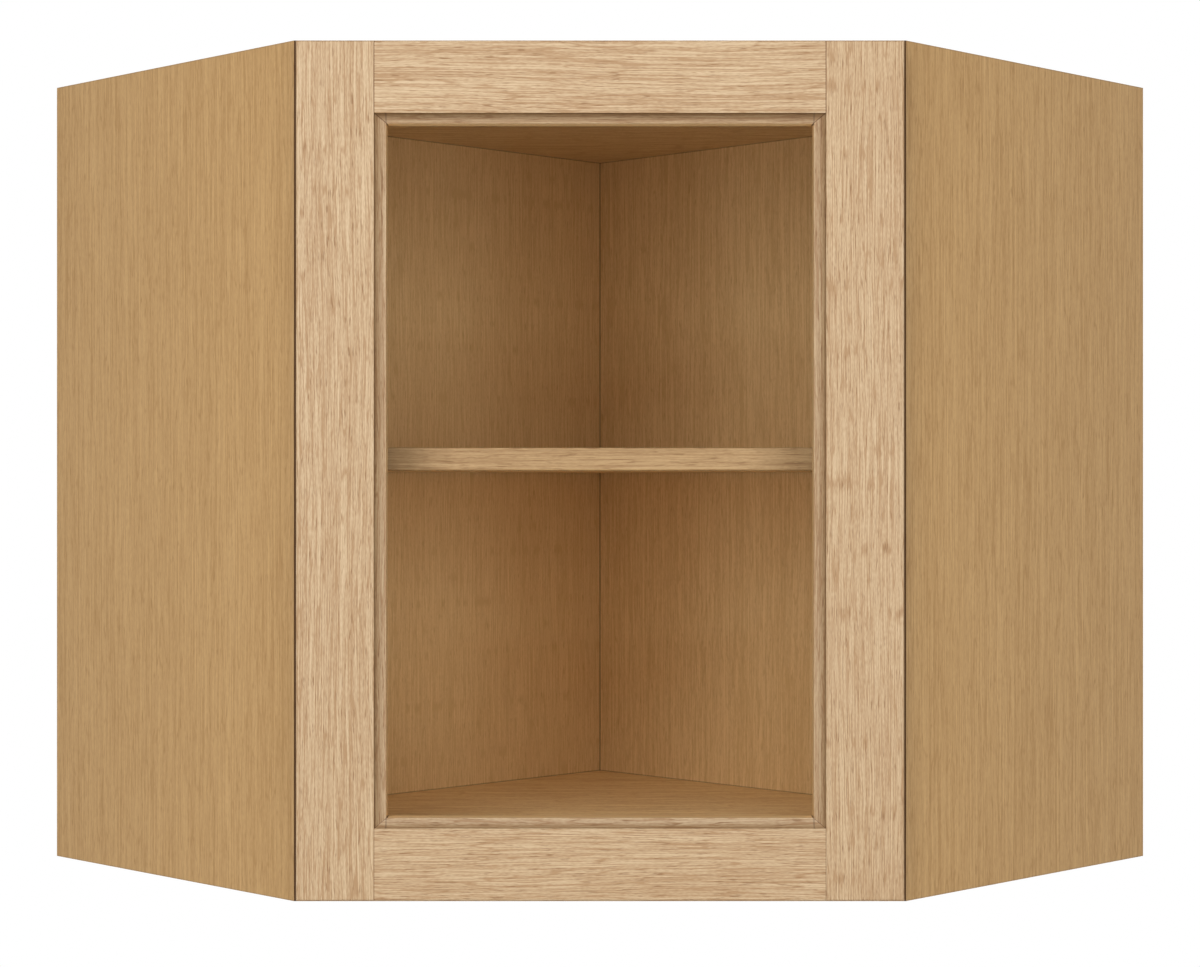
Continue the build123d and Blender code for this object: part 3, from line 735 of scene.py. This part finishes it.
class CABINET_OT_door(CabinetOperator, bpy.types.Operator):
    """Make the open door: two full-height stiles and two rails coped over their moulded edge"""

    bl_idname = "corner_cabinet.door"
    bl_label = "Door"

    def execute(self, context):
        sizes = settings().door
        thickness = stile_high[1] - stile_low[1]
        half, bottom, top = -stile_low[0], stile_low[2], stile_high[2]
        levels, part, rounding, outer, stain = door_profile(sizes, thickness)
        stile_inner = sizes.stile_width - sizes.stile_moulding * part - rounding
        rail_inner = sizes.rail_width - sizes.rail_moulding * part - rounding
        # Over 1 the attribute marks a dark joint: faint down to the quirk's foot, and nearly full below it.
        joint = np.where(levels < sizes.quirk_depth, 1.3, 2.0)
        wood = wood_set("door")
        for number, (side, hand) in enumerate((("left", -1), ("right", 1))):
            edges = np.stack([hand * (half - outer), hand * (half - stile_inner)], 1)
            ends = np.stack([bottom + outer, top - outer], 1)
            stile = door_member(f"door_stile_{side}", levels, edges, ends, True, 0 * levels, stain)
            if hand < 0:
                cups = [(swing["pos_m"][0] + sizes.cup_from_axis, level) for level in hinge_levels()]
                cut_bores(stile, cups, sizes.cup_bore_radius, sizes.cup_bore_depth, stile_high[1])
            # The stiles' moulding gets the painted shade at 0.8 of its strength.
            stile.data.materials.append(oak(f"door oak {side} stile", *wood, SIDEWAYS, UP, 1.3 + number, shade_strength=0.8))
            place(smooth(stile), "door", "door_oak", f"door_{side}_stile")
        reach = half - stile_inner - sizes.joint_gap
        inner = (half - sizes.stile_width) / MM
        # Painted shade on the rails' moulding: stronger on the top rail, whose moulding faces down, than on the bottom
        # one.
        for number, (end, limit, inward, painted_shade) in enumerate((("bottom", bottom, 1, 0.6), ("top", top, -1, 1.0))):
            edges = np.stack([limit + inward * outer, limit + inward * rail_inner], 1)
            rail = door_member(f"door_rail_{end}", levels, edges, np.stack([-reach, reach], 1), False, joint, stain)
            cope = (SIDEWAYS, -inner, inner, 0.9, 0.55)
            rail.data.materials.append(oak(f"door oak {end} rail", *wood, UP, SIDEWAYS, 3.6 + number, shade_strength=painted_shade,
                                           cope=cope))
            place(smooth(rail), "door", "door_oak", f"door_{end}_rail")
        return {"FINISHED"}


class CABINET_OT_box(CabinetOperator, bpy.types.Operator):
    """Finish the box: veneered side panels, back panels, top and bottom, with their ply edges, seams painted as shade
    and a painted shadow beside the door
    """

    bl_idname = "corner_cabinet.box"
    bl_label = "Box"

    def execute(self, context):
        floor_high = span("bottom_panel")[1]
        floor_top, ceiling = floor_high[2] / MM, span("top_panel")[0][2] / MM
        corner = -floor_high[1] / sqrt(2) / MM
        front_edge = (stile_low[0] - settings().door.reveal) / MM
        # Each side panel's front edge gets a painted shadow where it shows beside the door, shade millimetres wide, and
        # a darker line along its top and bottom edges.
        for number, (side, wall, shade) in enumerate((("left", LEFT_WALL, 2.4), ("right", RIGHT_WALL, 1.6))):
            other = RIGHT_WALL if wall is LEFT_WALL else LEFT_WALL
            low, high = span(f"{side}_side_panel")
            finish_node(f"{side}_side_panel", oak(
                f"veneer {side} side", *wood_set("side"), other, UP, 6.1 + number, ring=1.3, wave=0.3, contrast=0.42,
                strength=0.4, ply=True, reveal=(SIDEWAYS, front_edge, -front_edge, shade, 1.0), relief=0.12,
                lines=[(UP, low[2] / MM, high[2] / MM, 1.1, 0.35)]))
            # The back panels get painted shade along their corner and where they meet the bottom and top panels.
            finish_node(f"{side}_back_panel", oak(
                f"veneer {side} back", *wood_set("inside"), wall, UP, 8.2 + number, ring=1.3, contrast=0.72,
                lines=[(UP, floor_top, ceiling, 1.0, 0.75), (wall, corner, corner, 0.9, 0.95)], **INSIDE_VENEER))
        # The bottom and top panels' tones are painted light: lighter and less red than the back panels' veneer.
        for node, kind, seed in (("bottom_panel", "floor", 10.4), ("top_panel", "ceiling", 11.7)):
            finish_node(node, oak(f"veneer {kind}", *wood_set(kind), INWARD, SIDEWAYS, seed, **LEVEL_VENEER))
        return {"FINISHED"}


class CABINET_OT_face_frame(CabinetOperator, bpy.types.Operator):
    """Finish the face frame that stiffens the box behind the door"""

    bl_idname = "corner_cabinet.face_frame"
    bl_label = "Face frame"

    def execute(self, context):
        wood = wood_set("door")
        for number, side in enumerate(("left", "right")):
            finish_node(f"face_frame_{side}_stile", oak(f"frame oak {side} stile", *wood, SIDEWAYS, UP, 12.1 + number))
        for number, end in enumerate(("bottom", "top")):
            finish_node(f"face_frame_{end}_rail", oak(f"frame oak {end} rail", *wood, UP, SIDEWAYS, 14.8 + number))
        return {"FINISHED"}


class CABINET_OT_shelf(CabinetOperator, bpy.types.Operator):
    """Finish the loose shelf: a veneered board with a solid strip along its front"""

    bl_idname = "corner_cabinet.shelf"
    bl_label = "Shelf"

    def execute(self, context):
        # The shelf's veneer uses the inside tones, which are painted light.
        finish_node("shelf_board", oak("shelf veneer", *wood_set("inside"), INWARD, SIDEWAYS, 17.3, **LEVEL_VENEER))
        finish_node("shelf_edge_strip", oak("shelf oak strip", *wood_set("strip"), UP, SIDEWAYS, 18.4, ring=1.0,
                                            wave=0.4, contrast=0.6))
        return {"FINISHED"}


class CABINET_OT_fixing_rails(CabinetOperator, bpy.types.Operator):
    """Finish the hanging rails behind the backs and the glued corner blocks under the bottom"""

    bl_idname = "corner_cabinet.fixing_rails"
    bl_label = "Hanging rails and blocks"

    def execute(self, context):
        number = 0
        for side, wall in (("left", LEFT_WALL), ("right", RIGHT_WALL)):
            for level in ("lower", "upper"):
                number += 1
                finish_node(f"{side}_{level}_hanging_rail", oak(
                    f"raw rail {side} {level}", *wood_set("raw"), UP, wall, 19.0 + number * 1.1, ring=1.4))
        finish_node("corner_blocks", oak("raw blocks", *wood_set("raw"), INWARD, SIDEWAYS, 25.2, ring=1.4))
        return {"FINISHED"}


class CABINET_OT_hinges(CabinetOperator, bpy.types.Operator):
    """Finish the two concealed hinges: cups, wrap-round arms, pins and closing springs, and the shelf's pins"""

    bl_idname = "corner_cabinet.hinges"
    bl_label = "Hinges"

    def execute(self, context):
        plated = steel("hinge nickel", 0.22, srgb(205, 203, 198))
        bright = steel("hinge pin steel", 0.12, srgb(214, 214, 212))
        for node in ("hinge_cups", "hinge_arm_lower", "hinge_arm_upper"):
            finish_node(node, plated)
        for node in ("hinge_pin_lower", "hinge_pin_upper", "hinge_spring_lower", "hinge_spring_upper"):
            finish_node(node, bright)
        finish_node("shelf_pins", steel("shelf pin zinc", 0.26, ZINC))
        return {"FINISHED"}


class CABINET_OT_screws(CabinetOperator, bpy.types.Operator):
    """Make the hinges' pan head screws: threaded shanks, domed heads and crossed recesses"""

    bl_idname = "corner_cabinet.screws"
    bl_label = "Hinge screws"

    def execute(self, context):
        sizes = settings().fixings
        rows = (("hinge_arm_screws", "cabinet", 0, sizes.arm_head_height, sizes.arm_spacing),
                ("hinge_cup_screws", "door", 1, sizes.cup_head_height, sizes.cup_spacing))
        for name, body, axis, head_height, spacing in rows:
            low, high = span(name)
            seat = high[axis] - head_height
            order = (2, 0, 1) if axis == 0 else (0, 2, 1)
            screws = []
            for number, (level, hand) in enumerate((level, hand) for level in hinge_levels() for hand in (-1, 1)):
                tightened = 0.4 + 0.9 * number
                grid = screw_surface(sizes, head_height, seat - low[axis], tightened)
                middle = (low + high) / 2
                middle[2], middle[axis] = level + hand * spacing / 2, seat
                screws.append(grid[..., order] + middle)
            made = copies(name + "_pan_head", screws)
            made.data.materials.append(steel(name.replace("_", " ") + " zinc", 0.26, ZINC))
            place(smooth(made, 40), body, "screw_steel", name)
        return {"FINISHED"}


class CABINET_OT_bumpers(CabinetOperator, bpy.types.Operator):
    """Make the door's two bumpers: soft domes at the corners of its free edge"""

    bl_idname = "corner_cabinet.bumpers"
    bl_label = "Door bumpers"

    def execute(self, context):
        low, high = span("door_bumpers")
        radius = settings().fixings.bumper_radius
        domes = []
        for level in (low[2] + radius, high[2] - radius):
            grid = bumper_surface(radius, high[1] - low[1])[..., (0, 2, 1)]
            domes.append(grid + np.array([(low[0] + high[0]) / 2, low[1], level]))
        made = copies("door_bumper_domes", domes)
        made.data.materials.append(rubber("bumper rubber"))
        place(smooth(made, 50), "door", "bumper_rubber", "door_bumpers")
        return {"FINISHED"}


def add_world(studio):
    """The room's even light, stronger from behind, with plain white wherever the surround itself is seen."""
    world = bpy.data.worlds.new("studio")
    world.use_nodes = True
    bpy.context.scene.world = world
    tree = world.node_tree
    tree.nodes.clear()
    path = tree.nodes.new("ShaderNodeLightPath")
    seen = math_node(tree, "MAXIMUM", path.outputs["Is Camera Ray"], path.outputs["Is Glossy Ray"])
    seen = math_node(tree, "MAXIMUM", seen, path.outputs["Is Transmission Ray"])
    heading = parts(tree, tree.nodes.new("ShaderNodeTexCoord").outputs["Generated"])
    all_front, all_behind = -0.3, 0.6
    behind = ramp(tree, heading["Y"], all_front, all_behind, True)
    behind = times(tree, behind, studio.behind - studio.front)
    room = add_node(tree, "ShaderNodeBackground", in_Color=(*DAYLIGHT, 1))
    tree.links.new(math_node(tree, "ADD", behind, studio.front), room.inputs["Strength"])
    white = add_node(tree, "ShaderNodeBackground", in_Color=(1, 1, 1, 1), in_Strength=1.0)
    choice = tree.nodes.new("ShaderNodeMixShader")
    feed(tree, choice.inputs, (seen, room.outputs[0], white.outputs[0]))
    tree.links.new(choice.outputs[0], tree.nodes.new("ShaderNodeOutputWorld").inputs[0])


def add_lamps(studio):
    """The soft key lamp and the pair beside the camera, all turned to the same spot on the cabinet's face."""
    aim = Vector((0, cad_box[0][1], studio.aim_height))
    turn, rise = studio.pair_angle, studio.pair_rise
    lamps = {"key lamp": (Vector(studio.key_spot), studio.key, studio.key_size, studio.key_size)}
    for name, hand in (("left lamp", -1), ("right lamp", 1)):
        away = Vector((hand * sin(turn) * cos(rise), -cos(turn) * cos(rise), sin(rise)))
        power = studio.pair * (1 - hand * studio.pair_lean)
        lamps[name] = (aim + studio.pair_distance * away, power, studio.pair_width, studio.pair_height)
    for name, (spot, power, width, height) in lamps.items():
        lamp = bpy.data.lights.new(name, "AREA")
        lamp.shape, lamp.size, lamp.size_y = "RECTANGLE", width, height
        lamp.energy, lamp.color = power, DAYLIGHT
        stand = bpy.data.objects.new(name, lamp)
        stand.location = spot
        stand.rotation_euler = (aim - spot).to_track_quat("-Z", "Y").to_euler()
        bpy.context.scene.collection.objects.link(stand)


def add_floor(studio):
    """A pale disc under the cabinet that fades out with its radius and doesn't show from below."""
    rows, columns, reach = 24, 96, studio.floor_reach
    rings, angle = np.linspace(0.05, 1, rows)[:, None] * reach, np.linspace(0, 2 * pi, columns, endpoint=False)
    level = np.full((rows, columns), cad_box[0][2] - studio.floor_drop)
    points = np.stack([rings * np.cos(angle), rings * np.sin(angle), level], -1).reshape(-1, 3)
    floor = piece("studio_floor", points, [ring_wall(rows, columns), [np.arange(columns)[::-1]]])
    if floor.data.polygons[0].normal.z < 0:
        floor.data.flip_normals()
    material, tree, shader = principled("studio floor")
    flat = vector_math(tree, "MULTIPLY", tree.nodes.new("ShaderNodeTexCoord").outputs["Object"], (1, 1, 0))[0]
    below = tree.nodes.new("ShaderNodeNewGeometry").outputs["Backfacing"]
    fading = ramp(tree, vector_math(tree, "LENGTH", flat)["Value"], reach, reach * 0.3, True)
    tree.links.new(math_node(tree, "SUBTRACT", fading, below, clamp=True), shader.inputs["Alpha"])
    shade = cloud_on_object(tree, 2, 0.4, 0.4, 0.4)
    coat(tree, shader, mixed(tree, shade, (0.86, 0.86, 0.86, 1), (0.9, 0.9, 0.9, 1)), 0.8)
    floor.data.materials.append(material)


class CABINET_OT_stage(CabinetOperator, bpy.types.Operator):
    """Set up the studio: camera, even room light, a soft key lamp, a pair of lamps and a pale floor"""

    bl_idname = "corner_cabinet.stage"
    bl_label = "Studio"

    def execute(self, context):
        studio = settings().studio
        scene = context.scene
        scene.view_settings.view_transform = "Standard"
        camera = bpy.data.cameras.new("camera")
        camera.lens, camera.sensor_width, camera.shift_y = studio.lens, 36.0, studio.frame_shift
        viewer = bpy.data.objects.new("camera", camera)
        viewer.location = (0, -studio.camera_back, studio.camera_height)
        viewer.rotation_euler = (radians(90), 0, 0)
        scene.collection.objects.link(viewer)
        scene.camera = viewer
        add_world(studio)
        add_lamps(studio)
        add_floor(studio)
        return {"FINISHED"}


OPERATORS = (CABINET_OT_stage, CABINET_OT_door, CABINET_OT_box, CABINET_OT_face_frame, CABINET_OT_shelf,
             CABINET_OT_fixing_rails, CABINET_OT_hinges, CABINET_OT_screws, CABINET_OT_bumpers)


class CABINET_PT_sidebar(bpy.types.Panel):
    """Lists the cabinet's settings and operators in the 3D view's sidebar"""

    bl_idname = "CABINET_PT_sidebar"
    bl_label = "Corner Wall Cabinet"
    bl_space_type = "VIEW_3D"
    bl_region_type = "UI"
    bl_category = "Cabinet"

    def draw(self, context):
        layout = self.layout
        for operator in OPERATORS:
            layout.operator(operator.bl_idname)
        for name, group in GROUPS.items():
            box = layout.box()
            box.label(text=name.capitalize())
            for field in group.__annotations__:
                box.prop(getattr(context.scene.corner_cabinet, name), field)


CLASSES = (*GROUPS.values(), CabinetSettings, *OPERATORS, CABINET_PT_sidebar)


def register():
    """Registers the classes and hangs the settings on the scene."""
    for item in CLASSES:
        bpy.utils.register_class(item)
    bpy.types.Scene.corner_cabinet = PointerProperty(type=CabinetSettings)


def unregister():
    """Takes the settings and the classes away again."""
    del bpy.types.Scene.corner_cabinet
    for item in reversed(CLASSES):
        bpy.utils.unregister_class(item)


def main():
    """Dresses the cabinet piece by piece."""
    register()
    bpy.ops.corner_cabinet.stage()
    bpy.ops.corner_cabinet.door()
    bpy.ops.corner_cabinet.box()
    bpy.ops.corner_cabinet.face_frame()
    bpy.ops.corner_cabinet.shelf()
    bpy.ops.corner_cabinet.fixing_rails()
    bpy.ops.corner_cabinet.hinges()
    bpy.ops.corner_cabinet.screws()
    bpy.ops.corner_cabinet.bumpers()


if __name__ == "__main__":
    main()
